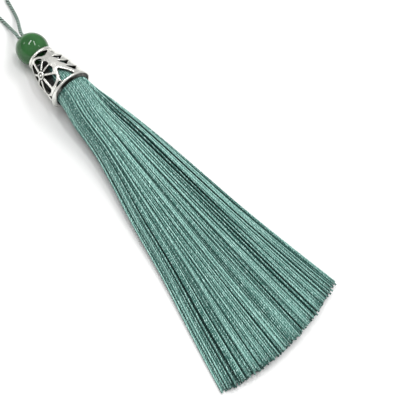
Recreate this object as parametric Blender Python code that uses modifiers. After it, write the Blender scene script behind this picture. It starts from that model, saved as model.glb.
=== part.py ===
"""A small hanging tassel lying on a table: cord loop, green bead, openwork silver cap, teal skirt.

Metres, +Z up, the table at z = 0. The skirt runs toward -Y and the bead and loop toward +Y.
"""
import math

import bmesh
import bpy
from mathutils import Vector
from mathutils.geometry import tessellate_polygon

mm = 0.001

# Head: the cap's mouth on the table, and the bead behind it, a little lower and to one side.
mouth_y = 29.31 * mm
mouth_height = 5.60 * mm
bead_radius = 4.0 * mm
bead_bore = 1.3 * mm
bead_behind_mouth = 15.1 * mm
bead_height = 4.15 * mm
head_turn = 2.5
seat_gap = 0.3 * mm

# Cap: wall, length, and the pattern's places (height above the mouth, angle from the top).
cap_wall = 0.5 * mm
cap_steps = 44
lip_inner = 4.95 * mm
rim_inner = 2.7 * mm
cut_from = 2.6 * mm
cut_to = 6.2 * mm
pattern_repeats = 2
flower_height = 6.5 * mm
flower_angle = 70.5
petal_up = 4.55 * mm
petal_down = 4.95 * mm
petal_right = 3.55 * mm
petal_left = 4.0 * mm
petal_start = 1.22 * mm
hub_radius = 1.08 * mm
spoke_width = 0.52 * mm
upright_widening = 0.3
spoke_angles = [-1.0, 49.0, 85.0, 129.0, 180.0, 228.0, 272.0, 315.0]

# Skirt: a square lattice of strands at the head, spread into a flat fan at the cut end.
skirt_length = 77.2 * mm
root_radius = 3.85 * mm
root_aside = 0.10 * mm
root_rise = 0.10 * mm
root_pitch = 0.47 * mm
end_pitch = 2.60 * mm
root_depth = 1.0 * mm
ragged_cut = 0.7 * mm
middle_of_four = 0.375
centred_by = 46.0 * mm

# Cord: a loop through the bead, doubled in its bore.
cord_thickness = 0.9 * mm
leg_offset = 0.6 * mm
cord_points = 64

# Stations along a strand, from the mouth. In mm: where it is, how thick, the height step of one
# row, of two rows and of four rows, and how far the whole skirt sways to +X. Then how far the
# strands have settled on the floor, and how far the second row of a pair and the second pair of
# four have moved aside, in column pitches.
stations = [
    # along, width, row, pair, four, sway, settled, row aside, pair aside
    (0.0, 0.32, 0.47, 0.94, 1.88, 0.0, 0.00, 0.00, 0.00),
    (10.0, 0.34, 0.46, 0.92, 1.84, 1.5, 0.55, 0.25, 0.00),
    (22.0, 0.38, 0.43, 0.87, 1.74, 2.3, 1.00, 0.50, 0.00),
    (centred_by / mm, 0.38, 0.00, 0.50, 1.00, 1.6, 1.00, 0.50, 0.25),
    (skirt_length / mm, 0.54, 0.00, 0.00, 0.60, 0.0, 1.00, 0.50, 0.25),
]

# Cap outline on the outside, mouth to top: height above the mouth, radius.
cap_outline = [
    (0.00, 5.15),
    (0.18, 5.42),
    (0.45, 5.56),
    (0.75, 5.50),
    (0.98, 5.22),
    (2.80, 5.18),
    (4.80, 5.07),
    (6.60, 4.84),
    (8.20, 4.46),
    (9.60, 4.00),
    (10.80, 3.56),
    (11.35, 3.38),
    (11.60, 3.46),
    (11.85, 3.46),
    (12.05, 3.34),
    (12.14, 3.12),
]

# Openings round each flower, as outlines of (aside, above) points in mm from its middle.
crescent = [
    (0.9, 4.98), (1.9, 4.62), (2.7, 4.15), (3.4, 3.55), (4.15, 3.3), (5.0, 3.62), (6.6, 4.42),
    (5.2, 4.66), (3.9, 4.78), (2.7, 5.02), (1.6, 5.08),
]
upper_slit = [(6.45, 3.9), (6.7, 2.6), (6.95, 2.6), (6.95, 3.9)]
triangle = [(4.4, -1.85), (3.85, -3.1), (3.15, -4.6), (3.15, -5.35), (7.1, -5.4), (5.9, -3.7)]
low_slot = [(2.85, -4.75), (2.85, -5.35), (1.1, -5.38), (1.4, -4.9)]
side_corner = [(-3.45, -3.85), (-1.75, -5.35), (-3.6, -5.35)]
side_slot = [(-4.55, -2.0), (-4.75, -3.2), (-5.1, -2.0), (-4.9, -0.2)]
upper_corner = [(-3.4, 3.7), (-4.5, 2.2), (-5.1, 3.0), (-4.6, 4.0)]
# A leaf's cut: its pointed tip lies to the right, with a barb under the belly.
leaf_cut = [
    (0.0, 0.2), (0.8, -0.18), (1.6, -0.6), (2.9, -0.55), (1.9, -1.1), (1.25, -1.6), (0.8, -0.95),
    (0.35, -0.3),
]
leaf_starts = [(5.4, 1.6), (5.75, -0.55), (6.55, -2.85)]

# The loop on the table, from where one leg leaves the bead to where the other comes back (mm).
loop_route = [
    (0.39, 49.30, 3.5),
    (1.00, 50.51, 2.8),
    (1.52, 51.82, 1.9),
    (1.97, 53.26, 1.1),
    (2.19, 54.61, 0.7),
    (2.24, 56.17, 0.5),
    (2.12, 57.77, 0.5),
    (1.85, 59.95, 0.5),
    (1.20, 63.35, 0.5),
    (1.10, 67.85, 0.5),
    (2.20, 72.85, 0.5),
    (5.00, 76.85, 0.5),
    (9.00, 77.85, 0.5),
    (12.00, 75.05, 0.5),
    (12.60, 70.35, 0.5),
    (11.00, 66.15, 0.5),
    (8.90, 63.60, 0.5),
    (7.46, 61.41, 0.5),
    (7.03, 59.82, 0.5),
    (6.62, 58.22, 0.5),
    (6.05, 56.53, 0.7),
    (5.16, 54.74, 1.2),
    (3.91, 52.90, 2.0),
    (2.61, 51.09, 2.9),
    (1.76, 49.75, 3.5),
]


def make_material(name, colour, roughness, metallic=0.0):
    material = bpy.data.materials.new(name)
    material.use_nodes = True
    shader = material.node_tree.nodes["Principled BSDF"]
    shader.inputs["Base Color"].default_value = (*colour, 1.0)
    shader.inputs["Roughness"].default_value = roughness
    shader.inputs["Metallic"].default_value = metallic
    material.diffuse_color = (*colour, 1.0)
    return material


def make_collection(name):
    collection = bpy.data.collections.new(name)
    bpy.context.scene.collection.children.link(collection)
    return collection


def add_object(name, data, collection, material=None, parent=None):
    item = bpy.data.objects.new(name, data)
    collection.objects.link(item)
    if material:
        data.materials.append(material)
    item.parent = parent
    return item


def mark_cutter(item):
    item.hide_render = True
    item.display_type = "WIRE"


def add_modifier(item, name, kind, **values):
    modifier = item.modifiers.new(name, kind)
    for key, value in values.items():
        setattr(modifier, key, value)
    return modifier


def shade_round(item, degrees=35.0):
    item.data.shade_smooth()
    item.data.set_sharp_from_angle(angle=math.radians(degrees))


def turned(name, outline, steps, collection, material, parent, closed=True):
    """Turn an outline of (radius, height) points about the object's own Z axis.

    An outline that begins and ends on the axis isn't closed.
    """
    bm = bmesh.new()
    points = [bm.verts.new((radius, 0.0, height)) for radius, height in outline]
    ahead = points[1:] + points[:1] if closed else points[1:]
    for start, end in zip(points, ahead):
        bm.edges.new((start, end))
    mesh = bpy.data.meshes.new(name)
    bm.to_mesh(mesh)
    bm.free()
    item = add_object(name, mesh, collection, material, parent)
    add_modifier(
        item, "Turn", "SCREW", axis="Z", angle=math.tau, steps=steps, render_steps=steps,
        screw_offset=0.0, use_merge_vertices=True, merge_threshold=0.00001,
    )
    return item


def union_with(item, other):
    add_modifier(item, "Join " + other.name, "BOOLEAN", operation="UNION", object=other, solver="EXACT")
    mark_cutter(other)


def head_frame(collection):
    """The head's own axis: Z from the mouth's middle to the bead, -Y toward the sky."""
    frame = bpy.data.objects.new("head_axis", None)
    frame.empty_display_size = 0.01
    collection.objects.link(frame)
    lean = math.atan2(mouth_height - bead_height, bead_behind_mouth)
    frame.location = (0.0, mouth_y, mouth_height)
    frame.rotation_euler = (-math.pi / 2 - lean, 0.0, -math.radians(head_turn))
    return frame


# ---------------------------------------------------------------- bead

def build_bead(collection, material, frame):
    """A ball with a bore along the head's axis, its rims eased by the ball's own curve."""
    rim_angle = math.asin(bead_bore / bead_radius)
    arc_points = 13
    outline = []
    for index in range(arc_points + 1):
        angle = rim_angle + (math.pi - 2 * rim_angle) * index / arc_points
        outline.append((bead_radius * math.sin(angle), bead_radius * math.cos(angle)))
    bead = turned("bead", outline, 32, collection, material, frame)
    bead.location = (0.0, 0.0, bead_behind_mouth)
    shade_round(bead)
    return bead


# ---------------------------------------------------------------- cap

def cap_radius(height):
    """Outside radius of the plain wall at a height above the mouth, between the outline's rows."""
    for (low, low_radius), (high, high_radius) in zip(cap_outline, cap_outline[1:]):
        if height <= high * mm:
            share = (height - low * mm) / ((high - low) * mm)
            return (low_radius + (high_radius - low_radius) * share) * mm
    return cap_outline[-1][1] * mm


def seat_height(radius):
    """Height at which the rim stays the seat gap away from the bead."""
    reach = bead_radius + seat_gap
    return bead_behind_mouth - math.sqrt(reach * reach - radius * radius)


def on_cap(aside, height, angle, radius):
    """A point at a radius, at a distance aside (toward smaller angles) from an angle."""
    turn = math.radians(angle) - aside / cap_radius((height + flower_height) / 2)
    return Vector((-radius * math.sin(turn), -radius * math.cos(turn), height))


def signed_area(outline):
    """Positive where the outline runs anticlockwise as seen from outside the cap."""
    ahead = outline[1:] + outline[:1]
    return sum(one[0] * two[1] - two[0] * one[1] for one, two in zip(outline, ahead)) / 2


def add_radial_prism(bm, outline, angle, inner, outer):
    """Join an outline of (aside, height) points at two depths into one closed prism."""
    if signed_area(outline) < 0:
        outline = outline[::-1]
    low = [bm.verts.new(on_cap(aside, height, angle, inner)) for aside, height in outline]
    high = [bm.verts.new(on_cap(aside, height, angle, outer)) for aside, height in outline]
    for corners in tessellate_polygon([[Vector((aside, height, 0.0)) for aside, height in outline]]):
        if signed_area([outline[corner] for corner in corners]) < 0:
            corners = corners[::-1]
        bm.faces.new([high[corner] for corner in corners])
        bm.faces.new([low[corner] for corner in corners[::-1]])
    for index in range(len(outline)):
        after = (index + 1) % len(outline)
        bm.faces.new((low[index], low[after], high[after]))
        bm.faces.new((low[index], high[after], high[index]))


def spoke_side(angle, distance):
    """Angle from a spoke's middle to its side; the upright spokes are the widest."""
    width = spoke_width * (1.0 + upright_widening * math.cos(angle) ** 2)
    return math.asin(width / 2 / distance)


def petal_outline(first, second):
    """A teardrop between the spokes at two angles, round at the flower's oval edge."""
    middle = (first + second) / 2
    across = petal_right if math.sin(middle) > 0 else petal_left
    along = petal_up if math.cos(middle) > 0 else petal_down
    reach = 1.0 / math.hypot(math.sin(middle) / across, math.cos(middle) / along)
    rising, falling = [], []
    for share, fill in ((0.0, 1.0), (0.84, 0.97), (0.98, 0.62)):
        distance = petal_start + (reach - petal_start) * share
        low = first + spoke_side(first, distance)
        high = second - spoke_side(second, distance)
        half = (high - low) / 2 * fill
        rising.append((distance, (low + high) / 2 - half))
        falling.append((distance, (low + high) / 2 + half))
    outline = rising + falling[::-1]
    return [(distance * math.sin(around), distance * math.cos(around)) for distance, around in outline]


def build_cap_cutters(collection):
    """All the openings of the pierced pattern, as prisms through the wall."""
    outlines = []
    for first, second in zip(spoke_angles, spoke_angles[1:] + [spoke_angles[0] + 360.0]):
        outlines.append(petal_outline(math.radians(first), math.radians(second)))
    for shape in (crescent, upper_slit, triangle, low_slot, side_corner, side_slot, upper_corner):
        outlines.append([(aside * mm, above * mm) for aside, above in shape])
    for start_aside, start_above in leaf_starts:
        outlines.append([
            ((start_aside + aside) * mm, (start_above + above) * mm) for aside, above in leaf_cut
        ])
    bm = bmesh.new()
    for repeat in range(pattern_repeats):
        angle = flower_angle + 360.0 / pattern_repeats * repeat
        for outline in outlines:
            placed = [(aside, flower_height + above) for aside, above in outline]
            add_radial_prism(bm, placed, angle, cut_from, cut_to)
    mesh = bpy.data.meshes.new("cap_cutters")
    bm.to_mesh(mesh)
    bm.free()
    cutters = add_object("cap_cutters", mesh, collection)
    mark_cutter(cutters)
    return cutters


def build_hub(name, angle, collection, frame):
    """The flower's ringed middle: a low turned boss with a groove round a raised dot."""
    outline = [(0.0, 0.18), (0.30, 0.12), (0.42, -0.06), (0.60, -0.06), (0.72, 0.15), (0.96, 0.15)]
    outline = [(radius * mm, height * mm) for radius, height in outline]
    outline += [(hub_radius, 0.0), (hub_radius, -0.25 * mm), (0.0, -0.25 * mm)]
    hub = turned(name, outline, 12, collection, None, frame, closed=False)
    turn = math.radians(angle)
    outward = Vector((-math.sin(turn), -math.cos(turn), 0.22)).normalized()
    hub.location = on_cap(0.0, flower_height, angle, cap_radius(flower_height))
    hub.rotation_euler = outward.to_track_quat("Z", "Y").to_euler()
    return hub


def build_cap(collection, cutter_collection, material, frame):
    """The pierced shell: a turned wall with a mouth ring and a seat rim, its pattern cut through."""
    outside = [(radius * mm, height * mm) for height, radius in cap_outline[::-1]]
    inside = [(lip_inner, 0.0), (lip_inner - 0.2 * mm, 0.6 * mm)]
    for height, radius in cap_outline[5:-5]:
        inside.append((radius * mm - cap_wall, height * mm))
    inside.append((rim_inner, 11.1 * mm))
    inside.append((rim_inner, seat_height(rim_inner)))
    outside[0] = (outside[0][0], seat_height(outside[0][0]))
    cap = turned("cap", outside + inside, cap_steps, collection, material, frame)
    cutters = build_cap_cutters(cutter_collection)
    cutters.parent = frame
    add_modifier(cap, "Pierce", "BOOLEAN", operation="DIFFERENCE", object=cutters, solver="EXACT")
    for repeat in range(pattern_repeats):
        angle = flower_angle + 360.0 / pattern_repeats * repeat
        hub = build_hub("flower_hub_%d" % (repeat + 1), angle, cutter_collection, frame)
        union_with(cap, hub)
    shade_round(cap)
    return cap


# ---------------------------------------------------------------- skirt

def fan_share(along):
    """How far the fan has opened: in a straight line, eased at the mouth."""
    bend = 1.0 * mm
    full = skirt_length * skirt_length / (skirt_length + bend)
    return along * along / (along + bend) / full


def strand_sections(column, row, rows_in_column, frame_matrix, cut):
    """Centres and widths of one strand at each station, from the head to the cut end."""
    four, pair, single = row // 4, (row // 2) % 2, row % 2
    root_up = (row - (rows_in_column - 1) / 2) * root_pitch
    lowest_root = mouth_height + root_rise - (rows_in_column - 1) / 2 * root_pitch
    slant = column * (end_pitch - root_pitch) / skirt_length
    shorten = 1.0 / math.sqrt(1.0 + slant * slant)
    sections = []
    for station in stations:
        along, width, row_step, pair_step, four_step, sway = (value * mm for value in station[:6])
        settled, row_aside, pair_aside = station[6:]
        if along == 0.0:
            root = Vector((root_aside + column * root_pitch, -root_rise - root_up, root_depth))
            sections.append((frame_matrix @ root, width))
            continue
        pitch = root_pitch + (end_pitch - root_pitch) * fan_share(along)
        centring = middle_of_four * min(1.0, along / centred_by)
        x = pitch * (column + single * row_aside + pair * pair_aside - centring) + sway
        stack = single * row_step + pair * pair_step + four * four_step
        z = lowest_root + (width / 2 - lowest_root) * settled + stack
        y = mouth_y - along * shorten + (cut if along >= skirt_length else 0.0)
        sections.append((Vector((x, y, z)), width))
    return sections


def add_strand(bm, sections):
    """A four-sided strand with level flats, from square sections joined one to the next."""
    corners = ((-0.5, -0.5), (0.5, -0.5), (0.5, 0.5), (-0.5, 0.5))
    rings = []
    for centre, width in sections:
        rings.append([
            bm.verts.new(centre + Vector((width * across, 0.0, width * up))) for across, up in corners
        ])
    bm.faces.new(rings[0][::-1])
    bm.faces.new(rings[-1])
    for near, far in zip(rings, rings[1:]):
        for index in range(4):
            after = (index + 1) % 4
            bm.faces.new((near[index], near[after], far[after], far[index]))


def build_strands(name, collection, frame_matrix):
    """All the strands of the skirt, standing apart from one another."""
    bm = bmesh.new()
    columns = int(root_radius / root_pitch)
    count = 0
    for column in range(-columns, columns + 1):
        half_height = math.sqrt(root_radius ** 2 - (column * root_pitch) ** 2)
        rows_in_column = int(2 * half_height / root_pitch) + 1
        for row in range(rows_in_column):
            cut = ragged_cut * (math.sin(12.9898 * column + 78.233 * row) * 43758.5453 % 1.0 - 0.5)
            add_strand(bm, strand_sections(column, row, rows_in_column, frame_matrix, cut))
            count += 1
    mesh = bpy.data.meshes.new(name)
    bm.to_mesh(mesh)
    bm.free()
    print("strands:", count)
    return add_object(name, mesh, collection)


def build_tassel(collection, guide_collection, material, frame):
    """The bound head inside the cap, with every strand's root fused into it."""
    face_radius = cap_radius(1.0 * mm) - cap_wall - 0.35 * mm
    neck = [(0.0, 9.8), (1.5, 9.8), (2.0, 9.3), (2.1, 7.6), (2.7, 6.0), (3.7, 4.4)]
    outline = [(radius * mm, height * mm) for radius, height in neck]
    outline += [(face_radius, 3.0 * mm), (face_radius, 0.5 * mm), (0.0, 0.5 * mm)]
    tassel = turned("tassel", outline, 28, collection, material, frame, closed=False)
    strands = build_strands("skirt_strands", guide_collection, frame.matrix_basis)
    union_with(tassel, strands)
    return tassel


# ---------------------------------------------------------------- cord

def smooth_route(points, count):
    """Evenly spaced points on the smooth curve (centripetal Catmull-Rom) through the route."""
    ends = [2 * points[0] - points[1]] + points + [2 * points[-1] - points[-2]]
    fine = []
    for before, start, end, after in zip(ends, ends[1:], ends[2:], ends[3:]):
        knots = [0.0]
        for one, two in ((before, start), (start, end), (end, after)):
            knots.append(knots[-1] + math.sqrt((two - one).length))
        for step in range(24):
            t = knots[1] + (knots[2] - knots[1]) * step / 24
            a1 = before.lerp(start, (t - knots[0]) / (knots[1] - knots[0]))
            a2 = start.lerp(end, (t - knots[1]) / (knots[2] - knots[1]))
            a3 = end.lerp(after, (t - knots[2]) / (knots[3] - knots[2]))
            b1 = a1.lerp(a2, (t - knots[0]) / (knots[2] - knots[0]))
            b2 = a2.lerp(a3, (t - knots[1]) / (knots[3] - knots[1]))
            fine.append(b1.lerp(b2, (t - knots[1]) / (knots[2] - knots[1])))
    fine.append(points[-1])
    lengths = [0.0]
    for one, two in zip(fine, fine[1:]):
        lengths.append(lengths[-1] + (two - one).length)
    even, cursor = [], 0
    for index in range(count):
        wanted = lengths[-1] * index / (count - 1)
        while cursor < len(fine) - 2 and lengths[cursor + 1] < wanted:
            cursor += 1
        share = (wanted - lengths[cursor]) / (lengths[cursor + 1] - lengths[cursor])
        even.append(fine[cursor].lerp(fine[cursor + 1], min(1.0, share)))
    return even


def build_cord(collection, material, frame):
    """One smooth cord: up the bead's bore, round the loop, and back down beside itself."""
    to_world = frame.matrix_basis
    starts = []
    for side in (-1, 1):
        depths = (10.2 * mm, bead_behind_mouth, bead_behind_mouth + 3.2 * mm)
        starts.append([to_world @ Vector((side * leg_offset, 0.0, depth)) for depth in depths])
    route = starts[0] + [Vector(point) * mm for point in loop_route] + starts[1][::-1]
    curve = bpy.data.curves.new("hang_cord", "CURVE")
    curve.dimensions = "3D"
    curve.bevel_depth = cord_thickness / 2
    curve.bevel_resolution = 2
    curve.use_fill_caps = True
    spline = curve.splines.new("POLY")
    points = smooth_route(route, cord_points)
    spline.points.add(len(points) - 1)
    for slot, point in zip(spline.points, points):
        slot.co = (*point, 1.0)
    return add_object("hang_cord", curve, collection, material)


def main():
    for item in list(bpy.data.objects):
        bpy.data.objects.remove(item, do_unlink=True)
    parts = make_collection("beaded_tassel")
    helpers = make_collection("cutters")
    frame = head_frame(parts)
    jade = make_material("green_jade", (0.045, 0.16, 0.055), 0.12)
    silver = make_material("antique_silver", (0.72, 0.70, 0.65), 0.3, 1.0)
    teal = make_material("teal_silk", (0.16, 0.40, 0.35), 0.45)
    grey_green = make_material("grey_green_cord", (0.30, 0.36, 0.29), 0.7)
    build_bead(parts, jade, frame)
    build_cap(parts, helpers, silver, frame)
    build_tassel(parts, helpers, teal, frame)
    build_cord(parts, grey_green, frame)


main()
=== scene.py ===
# Looks of a small tassel lying on a table: a twisted cord loop, a green bead, a pierced silver
# cap and a fanned skirt of silky threads. Lengths in the tables are millimetres.
import math

import bmesh
import bpy
import numpy as np
from mathutils import Matrix, Vector


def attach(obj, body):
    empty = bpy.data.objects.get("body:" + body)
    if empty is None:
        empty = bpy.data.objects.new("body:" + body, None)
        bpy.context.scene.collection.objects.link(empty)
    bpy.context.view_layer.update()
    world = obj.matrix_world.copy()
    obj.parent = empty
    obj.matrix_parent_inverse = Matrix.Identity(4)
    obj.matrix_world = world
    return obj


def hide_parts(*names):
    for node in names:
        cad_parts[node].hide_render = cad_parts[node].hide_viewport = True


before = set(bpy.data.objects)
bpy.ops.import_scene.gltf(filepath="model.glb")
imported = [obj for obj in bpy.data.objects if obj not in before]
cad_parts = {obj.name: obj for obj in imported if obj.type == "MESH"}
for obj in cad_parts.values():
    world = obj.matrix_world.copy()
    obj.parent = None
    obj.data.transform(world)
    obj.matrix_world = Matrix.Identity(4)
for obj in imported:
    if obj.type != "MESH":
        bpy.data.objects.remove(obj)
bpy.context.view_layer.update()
print("frame loaded:", sorted(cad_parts))

mm = 0.001
rng = np.random.default_rng(11)

# The head's own axes, shared by the bead, the cap and the roots of the threads

headPlace = {
    "mouth": (0.0, 29.31, 5.60),  # middle of the cap's mouth
    "beadBehind": 15.1,  # from the mouth to the bead's middle, along the axis
    "beadHeight": 4.15,
    "beadRadius": 4.0,
    "beadBore": 1.3,  # also a radius
    "turn": 2.5,  # degrees toward +X
}


def headToFrame(points):
    # Head points (aside, down, along the axis) turned about X, then Z, and moved to the mouth
    lean = math.atan2(headPlace["mouth"][2] - headPlace["beadHeight"], headPlace["beadBehind"])
    tilt = Matrix.Rotation(-math.pi / 2 - lean, 3, "X")
    swing = Matrix.Rotation(-math.radians(headPlace["turn"]), 3, "Z")
    return points @ np.array(swing @ tilt).T + np.array(headPlace["mouth"])


# Mesh helpers

def smoothTable(at, places, values):
    # Cubic through the table's points, with the mean slope of the neighbours at each one
    places, values = np.asarray(places, float), np.asarray(values, float)
    slopes = np.gradient(values, places)
    index = np.clip(np.searchsorted(places, at, side="right") - 1, 0, len(places) - 2)
    width = places[index + 1] - places[index]
    t = np.clip((at - places[index]) / width, 0.0, 1.0)
    return (
        (1 + 2 * t) * (1 - t) ** 2 * values[index] + t * (1 - t) ** 2 * width * slopes[index]
        + t * t * (3 - 2 * t) * values[index + 1] - t * t * (1 - t) * width * slopes[index + 1]
    )


def smoothStep(low, high, at):
    # 0 below low, 1 above high, and an even S between
    t = np.clip((at - low) / (high - low), 0.0, 1.0)
    return t * t * (3 - 2 * t)


def addMesh(name, points, faceGroups, material, cornerUv=None, pointValues=None, sharpAngle=None):
    # Rows of points in mm and arrays of faces, put into one mesh; faces turned outwards
    mesh = bpy.data.meshes.new(name)
    corners = np.concatenate([faces.ravel() for faces in faceGroups]).astype(np.int32)
    sizes = np.concatenate([np.full(len(faces), faces.shape[1]) for faces in faceGroups])
    starts = np.concatenate([[0], np.cumsum(sizes)[:-1]]).astype(np.int32)
    mesh.vertices.add(len(points))
    mesh.vertices.foreach_set("co", (points * mm).astype(np.float32).ravel())
    mesh.loops.add(len(corners))
    mesh.loops.foreach_set("vertex_index", corners)
    mesh.polygons.add(len(sizes))
    mesh.polygons.foreach_set("loop_start", starts)
    if cornerUv is not None:
        mesh.uv_layers.new(name="UVMap").data.foreach_set("uv", cornerUv.astype(np.float32).ravel())
    for key, values in (pointValues or {}).items():
        layer = mesh.attributes.new(key, "FLOAT", "POINT")
        layer.data.foreach_set("value", values.astype(np.float32).ravel())
    mesh.update(calc_edges=True)
    mesh.validate()
    shell = bmesh.new()
    shell.from_mesh(mesh)
    bmesh.ops.recalc_face_normals(shell, faces=shell.faces)
    shell.to_mesh(mesh)
    shell.free()
    mesh.shade_smooth()
    if sharpAngle:
        mesh.set_sharp_from_angle(angle=math.radians(sharpAngle))
    mesh.materials.append(material)
    item = bpy.data.objects.new(name, mesh)
    bpy.context.scene.collection.objects.link(item)
    return item


def gridFaces(rows, columns, closeRows, closeColumns):
    # Quads between neighbouring rows and columns of a point grid, with closed directions joined
    row = np.arange(rows if closeRows else rows - 1)[:, None]
    column = np.arange(columns if closeColumns else columns - 1)[None, :]
    nextRow, nextColumn = (row + 1) % rows, (column + 1) % columns
    quads = np.stack(np.broadcast_arrays(
        row * columns + column, row * columns + nextColumn,
        nextRow * columns + nextColumn, nextRow * columns + column,
    ), axis=-1)
    return quads.reshape(-1, 4)


def sweptFrames(path):
    # Aside and up at each point of a path or of many paths, square to its own slope
    along = np.gradient(path, axis=-2)
    along /= np.linalg.norm(along, axis=-1, keepdims=True)
    aside = np.cross(along, [0.0, 0.0, 1.0])
    aside /= np.linalg.norm(aside, axis=-1, keepdims=True)
    return aside, np.cross(aside, along)


# Material helpers

def newMaterial(name):
    material = bpy.data.materials.new(name)
    material.use_nodes = True
    nodes = material.node_tree.nodes
    return material, nodes, material.node_tree.links, nodes["Principled BSDF"]


def addNode(nodes, kind, **settings):
    node = nodes.new(kind)
    for key, value in settings.items():
        setattr(node, key, value)
    return node


def mathNode(tree, operation, first, second=None, third=None):
    # One Math node; a number goes on its socket and a socket is linked to it
    node = addNode(tree.nodes, "ShaderNodeMath", operation=operation)
    for index, value in enumerate((first, second, third)):
        if isinstance(value, (int, float)):
            node.inputs[index].default_value = value
        elif value is not None:
            tree.links.new(value, node.inputs[index])
    return node.outputs[0]


def mixColour(tree, factor, first, second):
    # A colour Mix node; tuples go on its sockets and sockets are linked
    node = addNode(tree.nodes, "ShaderNodeMix", data_type="RGBA")
    for index, value in ((0, factor), (6, first), (7, second)):
        if isinstance(value, (int, float)):
            node.inputs[index].default_value = value
        elif isinstance(value, tuple):
            node.inputs[index].default_value = (*value, 1.0)
        else:
            tree.links.new(value, node.inputs[index])
    return node.outputs[2]


def buildPlyGroup():
    # Ridges that wind round a cord: |sin(pi (around * plies + along * turns + noise * wander))|
    group = bpy.data.node_groups.new("plyTwist", "ShaderNodeTree")
    group.interface.new_socket(name="Map", in_out="INPUT", socket_type="NodeSocketVector")
    for name in ("Plies", "Turns", "Wander"):
        group.interface.new_socket(name=name, in_out="INPUT", socket_type="NodeSocketFloat")
    group.interface.new_socket(name="Ridge", in_out="OUTPUT", socket_type="NodeSocketFloat")
    entry, leave = group.nodes.new("NodeGroupInput"), group.nodes.new("NodeGroupOutput")
    apart = group.nodes.new("ShaderNodeSeparateXYZ")
    group.links.new(entry.outputs["Map"], apart.inputs[0])
    noise = addNode(group.nodes, "ShaderNodeTexNoise", noise_dimensions="1D")
    noise.inputs["Scale"].default_value = 0.7
    noise.inputs["Detail"].default_value = 1.0
    group.links.new(apart.outputs[1], noise.inputs["W"])
    around = mathNode(group, "MULTIPLY", apart.outputs[0], entry.outputs["Plies"])
    phase = mathNode(group, "MULTIPLY_ADD", apart.outputs[1], entry.outputs["Turns"], around)
    phase = mathNode(group, "MULTIPLY_ADD", noise.outputs["Fac"], entry.outputs["Wander"], phase)
    wave = mathNode(group, "SINE", mathNode(group, "MULTIPLY", phase, math.pi))
    group.links.new(mathNode(group, "ABSOLUTE", wave), leave.inputs["Ridge"])
    return group


def buildGrainGroup():
    # Noise in two sizes on Object coordinates, each with a mean of one half
    group = bpy.data.node_groups.new("softGrain", "ShaderNodeTree")
    for name in ("Coarse", "Fine"):
        group.interface.new_socket(name=name, in_out="INPUT", socket_type="NodeSocketFloat")
    for name in ("Mottle", "Grain"):
        group.interface.new_socket(name=name, in_out="OUTPUT", socket_type="NodeSocketFloat")
    entry, leave = group.nodes.new("NodeGroupInput"), group.nodes.new("NodeGroupOutput")
    place = group.nodes.new("ShaderNodeTexCoord")
    for size, name, detail in (("Coarse", "Mottle", 3.0), ("Fine", "Grain", 2.0)):
        noise = group.nodes.new("ShaderNodeTexNoise")
        noise.inputs["Detail"].default_value = detail
        group.links.new(place.outputs["Object"], noise.inputs["Vector"])
        group.links.new(entry.outputs[size], noise.inputs["Scale"])
        group.links.new(noise.outputs["Fac"], leave.inputs[name])
    return group


plyGroup = buildPlyGroup()
grainGroup = buildGrainGroup()


def placeGrain(nodes, coarse, fine):
    node = addNode(nodes, "ShaderNodeGroup", node_tree=grainGroup)
    node.inputs["Coarse"].default_value = coarse
    node.inputs["Fine"].default_value = fine
    return node


def placeTwist(nodes, links, plies, turns, wander):
    node = addNode(nodes, "ShaderNodeGroup", node_tree=plyGroup)
    for name, value in (("Plies", plies), ("Turns", turns), ("Wander", wander)):
        node.inputs[name].default_value = value
    links.new(nodes.new("ShaderNodeUVMap").outputs["UV"], node.inputs["Map"])
    return node


def addBump(nodes, links, shader, height, distance, strength=1.0):
    bump = nodes.new("ShaderNodeBump")
    bump.inputs["Distance"].default_value = distance
    bump.inputs["Strength"].default_value = strength
    links.new(height, bump.inputs["Height"])
    links.new(bump.outputs["Normal"], shader.inputs["Normal"])


def readValue(nodes, name):
    return addNode(nodes, "ShaderNodeAttribute", attribute_name=name).outputs["Fac"]


# Camera, where the photograph was taken from

cameraView = {
    "place": (-100.386, -34.734, 159.1),
    "right": (0.6529603, -0.67531805, 0.34291163),
    "up": (0.50657747, 0.72598087, 0.46511402),
    "forward": (0.56304717, 0.12998968, -0.81613759),
    "lens": 72.0,
    "sensor": 36.0,
}


def buildCamera():
    lens = bpy.data.cameras.new("viewCamera")
    lens.lens, lens.sensor_width = cameraView["lens"], cameraView["sensor"]
    lens.clip_start = 0.01
    camera = bpy.data.objects.new("viewCamera", lens)
    axes = np.array([cameraView["right"], cameraView["up"], [-value for value in cameraView["forward"]]])
    place = Matrix(axes.T.tolist()).to_4x4()
    place.translation = [value * mm for value in cameraView["place"]]
    camera.matrix_world = place
    bpy.context.scene.collection.objects.link(camera)
    bpy.context.scene.camera = camera


buildCamera()
print("camera placed")

# Cord: one twisted three-ply cord, up the bead's bore, round the loop and back

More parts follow.
